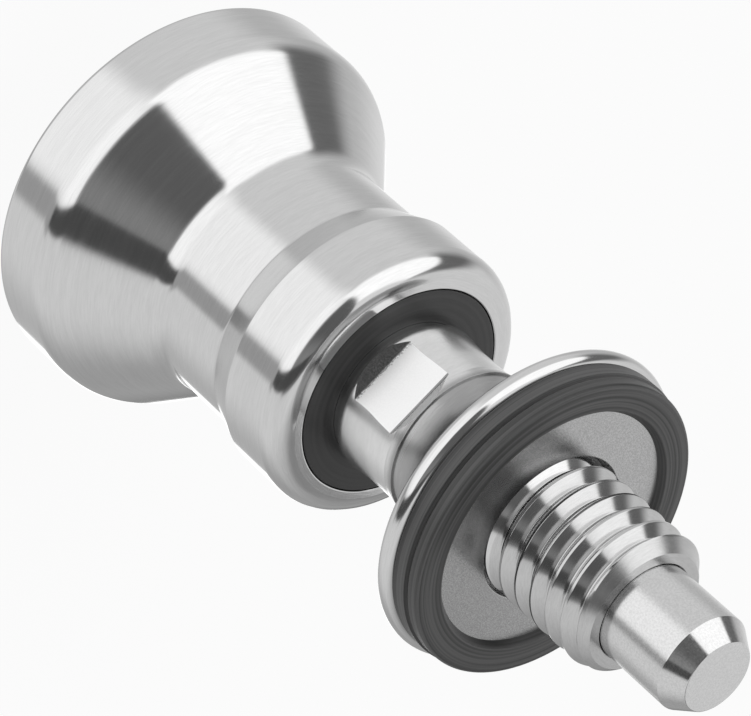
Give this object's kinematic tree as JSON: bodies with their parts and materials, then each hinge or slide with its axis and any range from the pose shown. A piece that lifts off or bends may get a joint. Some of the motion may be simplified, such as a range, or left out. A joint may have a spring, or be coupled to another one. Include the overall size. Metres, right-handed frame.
{
  "type": "indexing plunger",
  "caption": "Sealed stainless indexing plunger: pull knob, sprung locking pin, threaded sleeve with flange, wrench flats and sealing washer.",
  "frame": {"origin": "on the axis, at the metal face of the sealing washer, where the plunger seats and the exposed thread begins", "axes": "+Z along the axis towards the locking pin's tip; +X square to one wrench flat"},
  "size_m": [0.033, 0.033, 0.0666],
  "materials": {
    "turned_steel": "finely turned and polished",
    "ground_steel": "ground",
    "disc_steel": "matt, fine grain",
    "spring_steel": "drawn wire",
    "black_rubber": "satin moulded",
    "black_elastomer": "satin moulded"
  },
  "bodies": {
    "sleeve": {"sleeve": "turned_steel", "seal_washer_disc": "disc_steel", "seal_washer_rim": "black_rubber"},
    "spring": {"return_spring": "spring_steel"},
    "plunger": {"knob": "turned_steel", "knob_seal": "black_elastomer", "locking_pin": "ground_steel"}
  },
  "joints": [
    {"name": "knob_pull", "type": "slide", "parent": "sleeve", "child": "spring", "axis": [0, 0, -1], "range_m": [0, 0.008], "stiffness_N_per_m": 1600, "springref_m": -0.006, "deforming": ["return_spring"]},
    {"name": "knob_turn", "type": "hinge", "parent": "spring", "child": "plunger", "pos_m": [0, 0, 0], "axis": [0, 0, 1], "continuous": true}
  ]
}
